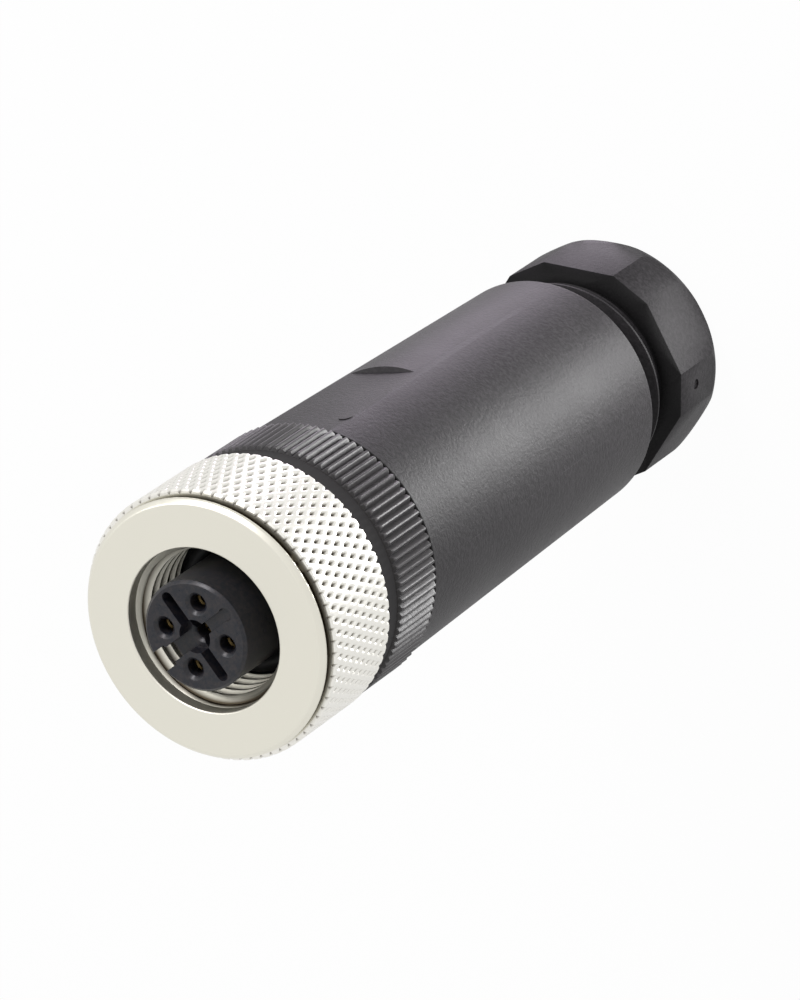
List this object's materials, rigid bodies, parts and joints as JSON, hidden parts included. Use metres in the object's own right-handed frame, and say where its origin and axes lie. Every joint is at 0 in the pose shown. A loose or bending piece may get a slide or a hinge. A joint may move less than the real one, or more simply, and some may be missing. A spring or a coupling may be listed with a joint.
{
  "type": "m12 socket connector",
  "caption": "Straight round cable socket with a knurled threaded coupling nut, keyed contact nose, ribbed collar, tapered sleeve with spanner flats and a faceted cable gland nut.",
  "frame": {"origin": "centre of the gland nut's rear face, which the part stands on", "axes": "+Z along the connector's axis towards the mating face, +X towards the keyway in the contact nose"},
  "size_m": [0.0202, 0.0202, 0.0625],
  "materials": {
    "nickel": "nickel plate, satin",
    "spring_steel": "bright spring steel",
    "collar_plastic": "moulded black, semi-matt",
    "seal_rubber": "smooth rubber",
    "insert_plastic": "moulded blue-black, semi-matt",
    "block_plastic": "moulded black",
    "contact_metal": "gold-flashed brass",
    "screw_steel": "zinc-plated steel",
    "housing_plastic": "moulded black, fine grain",
    "ring_plastic": "moulded natural",
    "basket_plastic": "moulded dark grey",
    "gland_rubber": "soft rubber",
    "gland_plastic": "moulded black, fine grain"
  },
  "bodies": {
    "housing": {"housing": "housing_plastic"},
    "seal_slide": {"collar_seal": "seal_rubber"},
    "collar": {"grip_collar": "collar_plastic", "contact_insert": "insert_plastic", "terminal_block": "block_plastic", "centre_contact": "contact_metal", "outer_contact_1": "contact_metal", "outer_contact_2": "contact_metal", "outer_contact_3": "contact_metal", "outer_contact_4": "contact_metal", "terminal_screws": "screw_steel", "wire_guards": "spring_steel", "contact_sleeves": "spring_steel", "nose_seal": "seal_rubber", "retaining_ring": "spring_steel"},
    "coupling_nut": {"coupling_nut": "nickel"},
    "gland_pack": {"thrust_ring": "ring_plastic", "clamp_basket": "basket_plastic", "gland_seal": "gland_rubber"},
    "gland_nut": {"gland_nut": "gland_plastic"}
  },
  "joints": [
    {"name": "collar_travel", "type": "slide", "parent": "housing", "child": "seal_slide", "axis": [0, 0, 1], "range_m": [0, 0.00301]},
    {"name": "collar_turn", "type": "hinge", "parent": "seal_slide", "child": "collar", "pos_m": [0, 0, 0.045], "axis": [0, 0, 1], "range_deg": [0, 1080]},
    {"name": "nut_turn", "type": "hinge", "parent": "collar", "child": "coupling_nut", "pos_m": [0, 0, 0.057], "axis": [0, 0, 1], "continuous": true},
    {"name": "gland_travel", "type": "slide", "parent": "housing", "child": "gland_pack", "axis": [0, 0, 1], "range_m": [-0.00301, 0.00441]},
    {"name": "gland_turn", "type": "hinge", "parent": "gland_pack", "child": "gland_nut", "pos_m": [0, 0, 0.0035], "axis": [0, 0, 1], "range_deg": [-720, 1056]}
  ],
  "couplings": [
    {"joint": "collar_travel", "follows": "collar_turn", "m_per_rad": 0.00015915},
    {"joint": "gland_travel", "follows": "gland_turn", "m_per_rad": 0.00023873}
  ]
}
